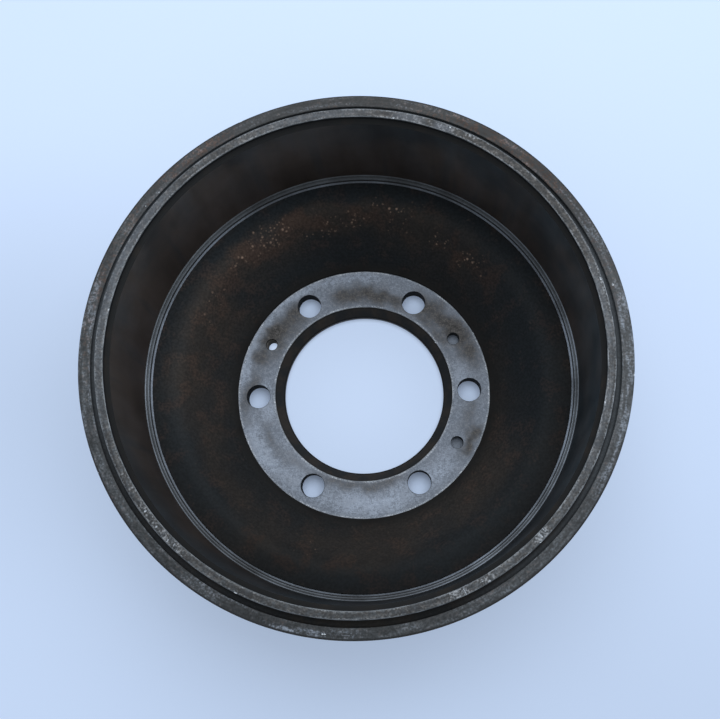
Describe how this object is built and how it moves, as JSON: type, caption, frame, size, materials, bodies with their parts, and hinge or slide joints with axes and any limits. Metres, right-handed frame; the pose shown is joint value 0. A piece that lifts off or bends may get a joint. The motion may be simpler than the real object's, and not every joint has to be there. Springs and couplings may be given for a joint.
{
  "type": "brake drum",
  "caption": "Cast-iron brake drum with a dished web, a turned shoe track inside, a raised lip and flange at its open mouth, and a pilot bore and stud holes in its hub end.",
  "frame": {"origin": "on the drum's axis, in the wheel face, which is the lowest plane when the drum lies mouth up", "axes": "+Z along the drum's axis, from the wheel face towards the open mouth; +X through the first wheel stud hole"},
  "size_m": [0.3072, 0.3072, 0.1095],
  "materials": {
    "cast_iron": "as-cast skin with light rust, turned faces grey and stained"
  },
  "bodies": {
    "root": {"brake_drum": "cast_iron"}
  },
  "joints": []
}
